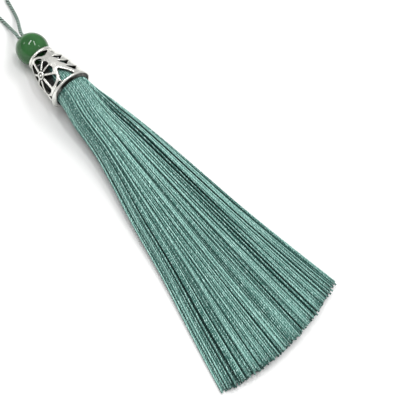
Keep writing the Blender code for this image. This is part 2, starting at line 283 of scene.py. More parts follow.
cordMake = {
    "thickness": 0.9,
    "plyPitch": 2.6,  # one whole turn of the plies
    "lobeDepth": 0.20,  # depth of the valleys between plies, as a share of the thickness
    "fineSteps": 4000,
    "ringStep": 0.14,
    "sides": 24,
    "legOffset": 0.6,
    "depths": (10.2, 15.1, 18.3),  # along the head's axis, inside the cap and the bead
    "loop": [
        (0.39, 49.30, 3.5), (1.00, 50.51, 2.8), (1.52, 51.82, 1.9), (1.97, 53.26, 1.1), (2.19, 54.61, 0.7),
        (2.24, 56.17, 0.5), (2.12, 57.77, 0.5), (1.85, 59.95, 0.5), (1.20, 63.35, 0.5), (1.10, 67.85, 0.5),
        (2.20, 72.85, 0.5), (5.00, 76.85, 0.5), (9.00, 77.85, 0.5), (12.00, 75.05, 0.5), (12.60, 70.35, 0.5),
        (11.00, 66.15, 0.5), (8.90, 63.60, 0.5), (7.46, 61.41, 0.5), (7.03, 59.82, 0.5), (6.62, 58.22, 0.5),
        (6.05, 56.53, 0.7), (5.16, 54.74, 1.2), (3.91, 52.90, 2.0), (2.61, 51.09, 2.9), (1.76, 49.75, 3.5),
    ],
}


def cordRoute():
    # A smooth table through the route by chord length, then even steps along it
    offset = cordMake["legOffset"]
    depths = cordMake["depths"]
    legs = [headToFrame(np.array([[side * offset, 0.0, depth] for depth in depths])) for side in (-1, 1)]
    route = np.vstack([legs[0], np.array(cordMake["loop"]), legs[1][::-1]])
    reach = np.concatenate([[0.0], np.cumsum(np.linalg.norm(np.diff(route, axis=0), axis=1))])
    places = np.linspace(0, reach[-1], cordMake["fineSteps"])
    fine = np.stack([smoothTable(places, reach, route[:, i]) for i in range(3)], axis=1)
    length = np.concatenate([[0.0], np.cumsum(np.linalg.norm(np.diff(fine, axis=0), axis=1))])
    even = np.linspace(0.0, length[-1], int(length[-1] / cordMake["ringStep"]) + 1)
    return np.stack([np.interp(even, length, fine[:, i]) for i in range(3)], axis=1), even


def cordMaterial():
    material, nodes, links, shader = newMaterial("greyGreenCord")
    tree = material.node_tree
    grain = placeGrain(nodes, 900.0, 6000.0)
    fibres = placeTwist(nodes, links, 22.0, -5.0, 0.0)
    light = mixColour(tree, grain.outputs["Mottle"], (0.17, 0.30, 0.25), (0.66, 0.82, 0.73))
    # painted shade: the valleys between the plies are mixed to near black, and only the crests keep the
    # mottled colour
    colour = mixColour(tree, readValue(nodes, "plyCrestLit"), (0.002, 0.009, 0.006), light)
    # painted sheen: the fine fibre ridges are mixed toward a lighter grey green
    paintedFibreSheen = mathNode(tree, "MULTIPLY", fibres.outputs["Ridge"], 0.12)
    colour = mixColour(tree, paintedFibreSheen, colour, (0.30, 0.42, 0.36))
    links.new(colour, shader.inputs["Base Color"])
    shader.inputs["Roughness"].default_value = 0.6
    addBump(nodes, links, shader, fibres.outputs["Ridge"], 0.00004)
    return material


def buildCord():
    # Radius = thickness / 2 * (1 - 2 * depth * (1 - |cos(1.5 angle)| ^ 0.8)), its angle turning
    # along the cord
    path, reach = cordRoute()
    aside, up = sweptFrames(path)
    angle = np.arange(cordMake["sides"]) / cordMake["sides"] * math.tau
    turned = angle[None, :] - reach[:, None] / cordMake["plyPitch"] * math.tau
    lobe = np.abs(np.cos(1.5 * turned)) ** 0.8
    radius = cordMake["thickness"] / 2 * (1 - cordMake["lobeDepth"] * 2 * (1 - lobe))
    points = (
        path[:, None, :] + (radius * np.cos(angle))[:, :, None] * aside[:, None, :]
        + (radius * np.sin(angle))[:, :, None] * up[:, None, :]
    )
    rows, columns = radius.shape
    quads = gridFaces(rows, columns, False, True)
    ends = np.array([np.arange(columns)[::-1], (rows - 1) * columns + np.arange(columns)])
    uvRow = reach[quads // columns]
    uvColumn = (quads % columns) / columns
    uvColumn[:, 1:3] += (uvColumn[:, 1:3] < uvColumn[:, 0:1]) * 1.0
    uv = np.concatenate([np.stack([uvColumn, uvRow], -1).reshape(-1, 2), np.zeros((2 * columns, 2))])
    # plyCrestLit is 1 on the plies' crests and 0 in the valleys, where the material paints shade
    cord = addMesh(
        "hangCordTwisted", points.reshape(-1, 3), [quads, ends], cordMaterial(), uv,
        {"plyCrestLit": smoothStep(0.72, 0.98, lobe).ravel()},
    )
    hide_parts("hang_cord")
    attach(cord, "root")
    print("cord built: %.1f mm long" % reach[-1])


buildCord()

# Bead: a polished ball of green stone with a bore

beadMake = {"arcRows": 72, "boreRows": 10, "columns": 112, "rimEase": 0.12}


def jadeMaterial():
    material, nodes, links, shader = newMaterial("greenJade")
    tree = material.node_tree
    grain = placeGrain(nodes, 260.0, 1500.0)
    cloud = mathNode(tree, "MULTIPLY_ADD", grain.outputs["Mottle"], 2.2, -0.6)
    colour = mixColour(tree, cloud, (0.006, 0.066, 0.010), (0.022, 0.130, 0.026))
    links.new(colour, shader.inputs["Base Color"])
    shader.inputs["Roughness"].default_value = 0.07
    shader.inputs["Subsurface Weight"].default_value = 0.1
    shader.inputs["Subsurface Radius"].default_value = (0.0006, 0.0016, 0.0007)
    addBump(nodes, links, shader, grain.outputs["Mottle"], 0.00002, 0.3)
    return material


def buildBead():
    # Turned outline: the ball's arc from bore rim to bore rim, then back down the bore
    radius, bore, ease = headPlace["beadRadius"], headPlace["beadBore"], beadMake["rimEase"]
    rim = math.asin((bore + ease) / radius)
    turn = np.linspace(rim, math.pi - rim, beadMake["arcRows"])
    arc = np.stack([radius * np.sin(turn), radius * np.cos(turn)], 1)
    inside = np.linspace(arc[-1, 1] + ease, arc[0, 1] - ease, beadMake["boreRows"])
    outline = np.vstack([arc, np.stack([np.full_like(inside, bore), inside], 1)])
    around = np.arange(beadMake["columns"]) / beadMake["columns"] * math.tau
    points = np.stack([
        outline[:, :1] * np.sin(around), outline[:, :1] * np.cos(around),
        np.repeat(outline[:, 1:] + headPlace["beadBehind"], len(around), axis=1),
    ], -1).reshape(-1, 3)
    quads = gridFaces(len(outline), len(around), True, True)
    bead = addMesh("beadBall", headToFrame(points), [quads], jadeMaterial(), sharpAngle=50)
    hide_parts("bead")
    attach(bead, "root")
    print("bead built")


buildBead()

# Cap: a cast silver shell, pierced with a flower, leaves and a crescent, twice round

capMake = {
    "wall": 0.65,
    "columns": 372,
    "wallRows": 118,
    "wallSpan": (1.0, 11.42),  # heights between the mouth ring and the top rim
    "flowerHeight": 6.5,
    "flowerAngles": (70.5, 250.5),
    "patternShift": 18.0,  # degrees that the pattern reaches further to one side of the flower
    "spokeAngles": (-1.0, 49.0, 85.0, 129.0, 180.0, 228.0, 272.0, 315.0),
    "spoke": 0.52,
    "uprightWidening": 0.3,
    "petalStart": 1.22,
    "petalReach": (3.55, 4.0, 4.55, 4.95),  # to the right, to the left, up and down
    "edgeRoll": 0.27,  # width over which metal rolls into an opening
    "edgeDrop": 0.24,
    "edgeCatch": 0.62,  # wall points within this share of a row are drawn onto an opening's edge
    # painted shade: distances from the hub over which a groove darkens and clears again
    "hubGrooves": ((0.28, 0.38, 0.54, 0.64), (0.98, 1.06, 1.14, 1.26)),
    "footLine": (0.05, 0.30, 0.8),  # above the mouth ring: from, to, strength
    "topLine": (0.02, 0.16, 0.7),  # below the top rim
    "hub": ((0.0, 0.24), (0.24, 0.20), (0.34, 0.02), (0.42, -0.05), (0.54, -0.04), (0.64, 0.16),
            (0.78, 0.25), (0.94, 0.20), (1.04, 0.0), (1.12, -0.06), (1.25, 0.0)),
    "outline": (
        (0.00, 5.15), (0.18, 5.42), (0.45, 5.56), (0.75, 5.50), (1.00, 5.22), (2.80, 5.18), (4.80, 5.07),
        (6.60, 4.84), (8.20, 4.46), (9.60, 4.00), (10.80, 3.56), (11.35, 3.38), (11.60, 3.44),
    ),
    "ring": ((4.42, 0.06), (4.50, 0.01), (4.66, 0.00), (4.86, 0.08), (5.04, 0.18), (5.18, 0.27),
             (5.31, 0.36), (5.43, 0.45), (5.52, 0.56), (5.56, 0.68), (5.52, 0.80), (5.42, 0.90),
             (5.29, 0.97)),
    "rim": ((3.42, 11.47), (3.49, 11.54), (3.52, 11.66), (3.52, 11.82), (3.48, 11.96), (3.38, 12.08),
            (3.26, 12.14), (3.12, 12.14)),
    "seat": ((2.95, 12.00), (2.80, 11.88), (2.68, 11.72), (2.66, 11.50)),
    "lip": ((4.50, 0.90), (4.42, 0.60), (4.38, 0.30)),
}

# Openings beside each flower, as (aside, above) outlines from its middle
capOpenings = {
    "crescent": [(0.9, 4.98), (1.9, 4.62), (2.7, 4.15), (3.4, 3.55), (4.15, 3.3), (5.0, 3.62), (6.6, 4.42),
                 (5.2, 4.66), (3.9, 4.78), (2.7, 4.86), (1.6, 4.9)],
    "upperSlit": [(6.45, 3.9), (6.7, 2.6), (6.95, 2.6), (6.95, 3.9)],
    "triangle": [(4.4, -1.85), (3.85, -3.1), (3.15, -4.6), (3.15, -5.35), (7.1, -5.4), (5.9, -3.7)],
    "lowSlot": [(2.85, -4.75), (2.85, -5.35), (1.1, -5.38), (1.4, -4.9)],
    "sideCorner": [(-3.45, -3.85), (-1.75, -5.35), (-3.6, -5.35)],
    "sideSlot": [(-4.55, -2.0), (-4.75, -3.2), (-5.1, -2.0), (-4.9, -0.2)],
    "upperCorner": [(-3.4, 3.7), (-4.5, 2.2), (-5.1, 3.0), (-4.6, 4.0)],
}
leafCut = [(-0.1, 0.3), (0.8, -0.1), (1.6, -0.5), (3.0, -0.5),
           (1.9, -1.15), (1.25, -1.75), (0.75, -1.0), (0.3, -0.35)]
leafStarts = [(5.4, 1.6), (5.75, -0.55), (6.55, -2.85)]


def capRadius(height):
    # The wall's outer radius, straight between the outline's points
    heights, radii = zip(*capMake["outline"])
    return np.interp(height, heights, radii)


def petalOutline(first, second):
    # A sector between two spokes, rounded off at the flower's oval edge; upright spokes are wider
    middle = (first + second) / 2
    toRight, toLeft, up, down = capMake["petalReach"]
    across, along = toRight if np.sin(middle) > 0 else toLeft, up if np.cos(middle) > 0 else down
    reach = 1.0 / np.hypot(np.sin(middle) / across, np.cos(middle) / along)
    share = np.concatenate([np.linspace(0.0, 0.8, 5), np.linspace(0.86, 1.0, 6)])
    distance = capMake["petalStart"] + (reach - capMake["petalStart"]) * share
    fill = np.sqrt(1.0 - np.clip((share - 0.78) / 0.22, 0.0, 1.0) ** 3.0) * 0.8 + 0.2
    widening = capMake["uprightWidening"]
    widths = [capMake["spoke"] * (1 + widening * np.cos(side) ** 2) for side in (first, second)]
    low, high = first + np.arcsin(widths[0] / 2 / distance), second - np.arcsin(widths[1] / 2 / distance)
    centre, spread = (low + high) / 2, (high - low) / 2 * fill
    around = np.concatenate([centre - spread, (centre + spread)[::-1]])
    distance = np.concatenate([distance, distance[::-1]])
    return np.stack([distance * np.sin(around), distance * np.cos(around)], 1)


def softened(outline, rounds=2):
    # Each corner is cut off by a point a fifth of the way along both of its sides
    for _ in range(rounds):
        ahead = np.roll(outline, -1, axis=0)
        outline = np.stack([outline * 0.82 + ahead * 0.18, outline * 0.18 + ahead * 0.82], 1).reshape(-1, 2)
    return outline


def capOutlines():
    # Every opening that belongs to one flower: its petals, the shapes beside it and the leaf cuts
    turns = np.radians(capMake["spokeAngles"])
    neighbours = zip(turns, [*turns[1:], turns[0] + math.tau])
    outlines = [petalOutline(first, second) for first, second in neighbours]
    outlines += [softened(np.array(shape)) for shape in capOpenings.values()]
    outlines += [softened(np.array(leafCut) + start, 1) for start in leafStarts]
    return outlines


def openingDistance(points):
    # Signed distance to the nearest opening's edge, negative inside one, and that edge's nearest point
    best, nearest = np.full(len(points), 9.0), points.copy()
    for outline in capOutlines():
        start, step = outline, np.roll(outline, -1, axis=0) - outline
        offset = points[:, None, :] - start[None]
        share = np.clip((offset * step).sum(-1) / (step ** 2).sum(-1), 0.0, 1.0)
        foot = start[None] + share[..., None] * step[None]
        gap = np.linalg.norm(points[:, None, :] - foot, axis=-1)
        pick = gap.argmin(1)
        gap = gap[np.arange(len(points)), pick]
        ends = start + step
        crosses = (start[None, :, 1] > points[:, None, 1]) != (ends[None, :, 1] > points[:, None, 1])
        rise = np.where(step[:, 1] == 0.0, 1e-9, step[:, 1])
        meets = start[None, :, 0] + (points[:, None, 1] - start[None, :, 1]) / rise * step[None, :, 0]
        inside = (crosses & (points[:, None, 0] < meets)).sum(1) % 2 == 1
        signed = np.where(inside, -gap, gap)
        closer = signed < best
        best[closer] = signed[closer]
        nearest[closer] = foot[np.arange(len(points)), pick][closer]
    return best, nearest


def capPattern(angle, height):
    # Aside and above of each wall point from its flower's middle, and millimetres per radian there
    scale = capRadius((height + capMake["flowerHeight"]) / 2)
    offsets = [np.angle(np.exp(1j * (math.radians(flower) - angle))) for flower in capMake["flowerAngles"]]
    shift = np.radians(capMake["patternShift"])
    nearer = np.abs(offsets[0] - shift) < np.abs(offsets[1] - shift)
    turn = np.where(nearer, offsets[0], offsets[1])
    return np.stack([turn * scale, height - capMake["flowerHeight"]], -1), scale


def silverMaterial():
    material, nodes, links, shader = newMaterial("antiqueSilver")
    tree = material.node_tree
    grain = placeGrain(nodes, 420.0, 4200.0)
    stain = mathNode(tree, "MULTIPLY_ADD", grain.outputs["Mottle"], 1.1, -0.56)
    # painted shade from the mesh, added to real tarnish mottle from the noise
    dark = mathNode(tree, "ADD", readValue(nodes, "paintedShade"), stain)
    limited = mathNode(tree, "MINIMUM", mathNode(tree, "MAXIMUM", dark, 0.0), 1.0)
    bright = mixColour(tree, grain.outputs["Grain"], (0.82, 0.82, 0.77), (0.95, 0.95, 0.90))
    colour = mixColour(tree, limited, bright, (0.022, 0.022, 0.018))
    links.new(colour, shader.inputs["Base Color"])
    links.new(mathNode(tree, "MULTIPLY_ADD", limited, 0.30, 0.24), shader.inputs["Roughness"])
    shader.inputs["Metallic"].default_value = 1.0
    addBump(nodes, links, shader, grain.outputs["Grain"], 0.00004, 0.6)
    return material


def capWall():
    # One even grid of angle and height for both faces of the wall, its points near an opening's
    # edge drawn onto that edge
    rows, columns = capMake["wallRows"], capMake["columns"]
    bottom, top = capMake["wallSpan"]
    height, angle = np.meshgrid(
        np.linspace(bottom, top, rows), np.arange(columns) / columns * math.tau, indexing="ij",
    )
    height, angle = height.ravel(), angle.ravel()
    flat, scale = capPattern(angle, height)
    distance, nearest = openingDistance(flat)
    onEdge = np.abs(distance) < capMake["edgeCatch"] * (top - bottom) / (rows - 1)
    moved = nearest[onEdge] - flat[onEdge]
    angle[onEdge] -= moved[:, 0] / scale[onEdge]
    height[onEdge] += moved[:, 1]
    flat[onEdge] = nearest[onEdge]
    return angle, height, flat, np.where(onEdge, 0.0, distance), onEdge


def capFaces(flat, distance, onEdge):
    # Triangles of the wall's grid that lie in metal, and the edges that only one of them has,
    # apart from the wall's own ends; a diagonal joins two edge points where there is one
    rows, columns = capMake["wallRows"], capMake["columns"]
    quads = gridFaces(rows, columns, False, True)
    flip = onEdge[quads[:, 1]] & onEdge[quads[:, 3]] & ~(onEdge[quads[:, 0]] & onEdge[quads[:, 2]])
    quads[flip] = np.roll(quads[flip], -1, axis=1)
    triangles = np.concatenate([quads[:, [0, 1, 2]], quads[:, [0, 2, 3]]])
    furthest = np.abs(distance[triangles]).argmax(1)
    side = distance[triangles][np.arange(len(triangles)), furthest]
    undecided = np.abs(side) < 1e-9
    side[undecided] = openingDistance(flat[triangles[undecided]].mean(1))[0]
    kept = triangles[side > 0.0]
    edges = np.concatenate([kept[:, [0, 1]], kept[:, [1, 2]], kept[:, [2, 0]]])
    keys = edges.min(1).astype(np.int64) * rows * columns + edges.max(1)
    _, first, count = np.unique(keys, return_index=True, return_counts=True)
    rim = edges[first[count == 1]]
    ends = (rim < columns).all(1) | (rim >= (rows - 1) * columns).all(1)
    return kept, rim[~ends]


def capRelief(height, flat, distance):
    # Outer radius = the wall's + the hub's relief - the drop of an edge rolled over a quarter circle;
    # painted shade darkens the hub's grooves, the rolled edges and where the wall meets the ring and the rim
    bottom, top = capMake["wallSpan"]
    fromHub = np.hypot(flat[:, 0], flat[:, 1])
    hubPlaces, hubHeights = zip(*capMake["hub"])
    roll = 1 - np.sqrt(1 - (1 - np.clip(distance / capMake["edgeRoll"], 0.0, 1.0)) ** 2)
    radius = capRadius(height) + np.interp(fromHub, hubPlaces, hubHeights) - capMake["edgeDrop"] * roll
    paintedShade = smoothStep(0.30, 0.80, roll)
    for darkens, dark, clears, clear in capMake["hubGrooves"]:
        paintedShade += smoothStep(darkens, dark, fromHub) * (1 - smoothStep(clears, clear, fromHub))
    for line, away in (("footLine", height - bottom), ("topLine", top - height)):
        near, far, strength = capMake[line]
        paintedShade += strength * (1 - smoothStep(near, far, away))
    return radius, np.clip(paintedShade, 0.0, 1.0)


def turnedPoints(radius, height, angle):
    # Points round the cap's axis, at angles counted from its top
    return np.stack(np.broadcast_arrays(
        -radius * np.sin(angle), -radius * np.cos(angle), height,
    ), -1).reshape(-1, 3)


def capBands(topRows, lipRows):
    # Quads between neighbouring rows: mouth ring up to the outer wall, over the top to the inner
    # wall, and from its foot over the lip back to the ring
    columns, lastRow = capMake["columns"], (capMake["wallRows"] - 1) * capMake["columns"]
    outerFrom = len(capMake["ring"]) * columns
    topFrom = outerFrom + lastRow + columns
    innerFrom = topFrom + topRows * columns
    lipFrom = innerFrom + lastRow + columns
    chains = (
        [*range(0, outerFrom + columns, columns)],
        [outerFrom + lastRow, *range(topFrom, innerFrom, columns), innerFrom + lastRow],
        [innerFrom, *range(lipFrom, lipFrom + lipRows * columns, columns), 0],
    )
    column = np.arange(columns)
    after = (column + 1) % columns
    bands = [
        np.stack([low + column, low + after, high + after, high + column], 1)
        for chain in chains for low, high in zip(chain, chain[1:])
    ]
    return np.concatenate(bands), outerFrom, innerFrom


def ringPaintedShade(around):
    # Painted shade: the mouth's face is darkened on the sky side, and only at its inner edge lower down
    radii = np.array(capMake["ring"])[:, :1]
    skyward = smoothStep(-0.2, 0.5, np.cos(around))[None, :]
    dark = 1 - smoothStep(4.45 + skyward * 0.80, 4.65 + skyward * 0.80, radii)
    dark[len(radii) // 2 + 3:] = 0.0
    return dark.ravel()


def buildCap():
    # Outer and inner wall and the plain turned rows round both ends, joined to one closed shell
    angle, height, flat, distance, onEdge = capWall()
    kept, rim = capFaces(flat, distance, onEdge)
    radius, wallPaintedShade = capRelief(height, flat, distance)
    around = np.arange(capMake["columns"]) / capMake["columns"] * math.tau
    outer = turnedPoints(radius, height, angle)
    inner = turnedPoints(capRadius(height) - capMake["wall"], height, angle)
    ring, rimTop, seat, lip = (
        turnedPoints(*np.hsplit(np.array(capMake[key]), 2), around)
        for key in ("ring", "rim", "seat", "lip")
    )
    points = np.vstack([ring, outer, rimTop, seat, inner, lip])
    bands, outerFrom, innerFrom = capBands(len(capMake["rim"]) + len(capMake["seat"]), len(capMake["lip"]))
    rimOut, rimIn = rim + outerFrom, rim + innerFrom
    walls = np.stack([rimOut[:, 1], rimOut[:, 0], rimIn[:, 0], rimIn[:, 1]], 1)
    quadFaces = np.concatenate([bands, walls])
    triFaces = np.concatenate([kept + outerFrom, kept[:, ::-1] + innerFrom])
    # painted shade: none on the top rim, more on the seat under it, and nearly full on the inner wall and
    # lip, where the inside of the cap lies in shade
    paintedShade = np.concatenate([
        ringPaintedShade(around), wallPaintedShade, np.zeros(len(rimTop)), np.full(len(seat), 0.7),
        np.full(len(inner) + len(lip), 0.95),
    ])
    # points that no face uses are left out
    used = np.unique(np.concatenate([quadFaces.ravel(), triFaces.ravel()]))
    renumber = np.full(len(points), -1)
    renumber[used] = np.arange(len(used))
    cap = addMesh(
        "capShell", headToFrame(points[used]), [renumber[quadFaces], renumber[triFaces]], silverMaterial(),
        pointValues={"paintedShade": paintedShade[used]}, sharpAngle=48,
    )
    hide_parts("cap")
    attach(cap, "root")
    print("cap built:", len(cap.data.polygons), "faces")


buildCap()

# Skirt: several hundred twisted threads, bound inside the cap and fanned on the table

skirtMake = {
    "threads": 640,
    "length": 77.9,
    "sides": 6,
    "insideDepths": (-9.0, -7.4, -5.9, -4.4, -2.9, -1.4),
    "stations": 32,
    "plyPitch": 1.6,  # length of one turn of a thread's two plies
    "rootAside": 0.08,
    "rootRise": 0.08,
    # depth inside the cap and the bundle's radius there
    "neck": ((-9.2, 2.5), (-7.6, 3.3), (-6.2, 3.75), (-5.0, 3.95), (-3.6, 4.1), (-2.0, 4.2), (0.0, 4.2),
             (20.0, 4.2)),
    "turnStep": 2.39996323,  # the golden angle, in radians
    "stationEase": 1.15,  # above 1, stations stand closer near the cap
    "slant": 0.285,  # how far the fan's edge threads lean, for the level cut
    # from the mouth: left and right edge, bottom, rise of the bottom's sides, full height, thread radius
    "fan": (
        (0.0, -4.50, 4.30, 1.45, 4.1, 8.2, 0.175),
        (5.0, -5.05, 6.15, 0.70, 3.9, 8.0, 0.180),
        (10.0, -5.30, 8.05, 0.15, 3.4, 7.6, 0.185),
        (16.0, -5.85, 9.95, 0.00, 2.7, 7.3, 0.190),
        (22.0, -7.10, 11.60, 0.00, 2.0, 6.7, 0.195),
        (34.0, -10.25, 14.30, 0.00, 1.0, 5.6, 0.205),
        (46.0, -13.00, 16.60, 0.00, 0.5, 4.6, 0.215),
        (62.0, -17.60, 19.85, 0.00, 0.2, 3.5, 0.225),
        (77.9, -22.00, 23.20, 0.00, 0.0, 2.6, 0.240),
    ),
    # groups across half the fan, and how strongly they gather at the mouth and at the cut end
    "clumps": ((7.0, 0.60, 0.20), (17.0, 0.25, 0.42), (31.0, 0.00, 0.55)),
    "groove": 0.24,  # how far the threads between two groups sink
    "drift": 0.60,  # how far a straight thread ends aside of its place at the cut end
    "waver": 0.07,
    "waves": ((13.0, 0.6), (5.5, 0.25)),  # length and strength of the sideways waves
    "humps": ((19.0, 0.8), (8.0, 0.2)),  # and of those up and down
    "lift": 0.20,
    "ragged": 0.8,
    "loose": (0.03, 1.0),  # share of the threads that stray, and how far
    "coverReach": ((0.03, 0.26), (0.12, 0.40)),  # how far outside and how far aside a thread shades
}


def threadSeeds(count):
    # Even points in the unit disc: radius sqrt((i + 1/2) / n), turned by the golden angle each time
    index = np.arange(count)
    radius, turn = np.sqrt((index + 0.5) / count), index * skirtMake["turnStep"]
    return radius * np.cos(turn), radius * np.sin(turn)


def threadPaths(across, upward):
    # Inside the cap a thread keeps its place in a round bundle; outside, the round section turns
    # into a flat-bottomed oval, wide and low at the cut end, and the two are blended over 8 mm
    inner = np.array(skirtMake["insideDepths"])
    share = np.linspace(0.0, 1.0, skirtMake["stations"]) ** skirtMake["stationEase"]
    slant = across * skirtMake["slant"]
    length = skirtMake["length"] / np.sqrt(1 + slant ** 2)
    length = length + (rng.random(len(across)) - 0.5) * 2 * skirtMake["ragged"] * rng.random(len(across))
    along = np.concatenate([np.repeat(inner[None], len(across), 0), share[None] * length[:, None]], axis=1)
    fan = np.array(skirtMake["fan"])
    at = np.clip(along, 0.0, fan[-1, 0])
    left, right, bottom, sideRise, full, radius = (
        smoothTable(at, fan[:, 0], column) for column in fan[:, 1:].T
    )
    opened = smoothStep(0.0, 60.0, along)
    u = np.repeat(across[:, None], along.shape[1], axis=1)
    gather, sunk = np.zeros_like(u), np.zeros_like(u)
    for groups, nearCap, atEnd in skirtMake["clumps"]:
        strength = nearCap + (atEnd - nearCap) * opened
        turn = math.tau * groups * u + groups * 1.7
        gather += strength / (math.tau * groups) * np.sin(turn)
        sunk += skirtMake["groove"] * strength * smoothStep(0.2, 1.0, np.cos(turn))
    u = u + gather
    u -= np.sign(u) * 0.03 * smoothStep(0.93, 1.0, np.abs(u))
    # inner threads run straight from the mouth to the cut end, outer ones follow the outline
    gone = at / fan[-1, 0]
    straight = (1 - gone) * (fan[0, 1] + fan[0, 2] + (fan[0, 2] - fan[0, 1]) * u) / 2
    straight += gone * (fan[-1, 1] + fan[-1, 2] + (fan[-1, 2] - fan[-1, 1]) * u) / 2
    followed = (left + right + (right - left) * u) / 2
    place = straight + (followed - straight) * smoothStep(0.20, 0.92, np.abs(u))
    phase = rng.random((4, len(across), 1)) * math.tau
    wave, hump = (
        sum(np.sin(along / length + start) * size for (length, size), start in zip(skirtMake[key], starts))
        for key, starts in (("waves", phase[:2]), ("humps", phase[2:]))
    )
    wave *= skirtMake["waver"] * smoothStep(0.0, 50.0, along)
    wave += skirtMake["drift"] * (rng.random((len(across), 1)) * 2 - 1) * np.clip(along / 77.0, 0.0, 1.0)
    share, reach = skirtMake["loose"]
    strays = (rng.random(len(across)) < share) * (rng.random(len(across)) - 0.5) * 2 * reach
    wave += strays[:, None] * np.sin(np.clip(along / 70.0, 0.0, 1.0) * math.pi)
    hump *= skirtMake["lift"] * smoothStep(-2.0, 8.0, along)
    chord = np.sqrt(np.clip(1 - across ** 2, 0.0, 1.0))[:, None]
    x = place + wave
    hump -= sunk * smoothStep(-2.0, 5.0, along)
    z = radius + bottom + sideRise * (1 - chord) + (upward[:, None] + chord) / 2 * full + hump
    fanned = np.stack([x, headPlace["mouth"][1] - along, np.maximum(z, radius)], -1)
    depths, radii = zip(*skirtMake["neck"])
    reach = np.interp(along, depths, radii)
    bound = headToFrame(np.stack([
        skirtMake["rootAside"] + across[:, None] * reach,
        -skirtMake["rootRise"] - upward[:, None] * reach, -along,
    ], -1).reshape(-1, 3)).reshape(*along.shape, 3)
    blend = smoothStep(-1.0, 7.0, along)[..., None]
    return bound * (1 - blend) + fanned * blend, along, radius


def outwardOf(paths, along):
    # Where a thread faces: its offset from the bundle's middle over the spread, halved sideways
    # and less as the fan opens, and turned up toward the light
    offset = (paths - paths.mean(0)) / paths.std(0)
    outward = np.stack([
        offset[..., 0] * (0.5 - 0.35 * smoothStep(5.0, 50.0, along)), np.zeros_like(along),
        np.maximum(offset[..., 2], 0.0) + 0.8,
    ], -1)
    return outward / np.linalg.norm(outward, axis=-1, keepdims=True)


def coverOf(paths, outward):
    # Share of each point's light that threads outside it take: 1 - e^-n, for the n of them that lie
    # less than about a thread's width aside of it
    near, wide = skirtMake["coverReach"]
    cover = np.zeros(paths.shape[:2])
    for station in range(paths.shape[1]):
        x, z = paths[:, station, 0], paths[:, station, 2]
        alongX, alongZ = outward[:, station, :1], outward[:, station, 2:]
        stepX, stepZ = x[None, :] - x[:, None], z[None, :] - z[:, None]
        outside = stepX * alongX + stepZ * alongZ
        aside = np.abs(stepX * alongZ - stepZ * alongX)
        cover[:, station] = (smoothStep(*near, outside) * (1 - smoothStep(*wide, aside))).sum(1)
    return 1 - np.exp(-cover)


def threadMaterial():
    material, nodes, links, shader = newMaterial("tealSilkThread")
    tree = material.node_tree
    grain = placeGrain(nodes, 900.0, 3600.0)
    twist = placeTwist(nodes, links, 2.0, 2.0 / skirtMake["plyPitch"], 2.6)
    colour = mixColour(tree, readValue(nodes, "threadTone"), (0.034, 0.155, 0.124), (0.350, 0.665, 0.585))
    # painted glints: bright flecks where the ply ridges meet the fine grain
    paintedGlint = mathNode(tree, "MULTIPLY", twist.outputs["Ridge"], grain.outputs["Grain"])
    paintedGlint = mathNode(tree, "MULTIPLY_ADD", paintedGlint, 7.0, -2.9)
    paintedGlint = mathNode(tree, "MINIMUM", mathNode(tree, "MAXIMUM", paintedGlint, 0.0), 0.85)
    colour = mixColour(tree, paintedGlint, colour, (0.64, 0.98, 0.90))
    # painted shade: the grooves between plies, the flanks turned away from the bundle's outside and the
    # threads that others cover are mixed toward deep teal
    hollowShade = mathNode(tree, "SUBTRACT", 1.0, twist.outputs["Ridge"])
    paintedFlankShade = mathNode(tree, "SUBTRACT", 1.0, readValue(nodes, "crest"))
    hollowShade = mathNode(tree, "MULTIPLY_ADD", paintedFlankShade, 3.3, hollowShade)
    depth = mathNode(tree, "MULTIPLY", readValue(nodes, "buried"), 0.96)
    shade = mathNode(tree, "MULTIPLY_ADD", hollowShade, 0.24, depth)
    colour = mixColour(tree, mathNode(tree, "MINIMUM", shade, 0.96), colour, (0.006, 0.070, 0.057))
    # buried goes from 1 to 2 where no light comes at all
    lost = mathNode(tree, "MAXIMUM", mathNode(tree, "SUBTRACT", readValue(nodes, "buried"), 1.0), 0.0)
    colour = mixColour(tree, lost, colour, (0.004, 0.006, 0.005))
    links.new(colour, shader.inputs["Base Color"])
    shader.inputs["Roughness"].default_value = 0.36
    shader.inputs["Specular IOR Level"].default_value = 0.4
    shader.inputs["Sheen Weight"].default_value = 0.2
    shader.inputs["Sheen Roughness"].default_value = 0.4
    addBump(nodes, links, shader, twist.outputs["Ridge"], 0.00010)
    return material


def buildThreads(name, paths, along, radius, outward, tone, buried, material):
    # A ring of points round each station of each path, joined along the path and closed at both ends
    count, stations, _ = paths.shape
    sides = skirtMake["sides"]
    aside, up = sweptFrames(paths)
    angle = np.arange(sides) / sides * math.tau
    ring = np.cos(angle)[:, None] * aside[:, :, None, :] + np.sin(angle)[:, None] * up[:, :, None, :]
    points = paths[:, :, None, :] + radius[:, :, None, None] * ring
    # how squarely each point faces out of the bundle; the material paints shade on the flanks that face away
    crest = smoothStep(0.0, 0.95, (ring * outward[:, :, None, :]).sum(-1))
    one = gridFaces(stations, sides, False, True)
    size = stations * sides
    shift = (np.arange(count) * size)[:, None, None]
    quads = (one[None] + shift).reshape(-1, 4)
    caps = np.array([np.arange(sides)[::-1], size - sides + np.arange(sides)])
    caps = (caps[None] + shift).reshape(-1, sides)
    uColumn = (one % sides) / sides
    uColumn[:, 1:3] += (uColumn[:, 1:3] < uColumn[:, 0:1]) * 1.0
    vRow = along[:, one // sides] + tone[:, None, None] * 7.0  # the plies start elsewhere on each thread
    uv = np.stack([np.repeat(uColumn[None], count, 0), vRow], -1)
    uv = np.concatenate([uv.reshape(-1, 2), np.zeros((caps.size, 2))])
    values = {
        "threadTone": np.repeat(tone, size),
        "buried": np.repeat(buried, sides, axis=1).ravel(),
        "crest": crest.ravel(),
    }
    skirt = addMesh(name, points.reshape(-1, 3), [quads, caps], material, uv, values)
    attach(skirt, "root")
    return skirt


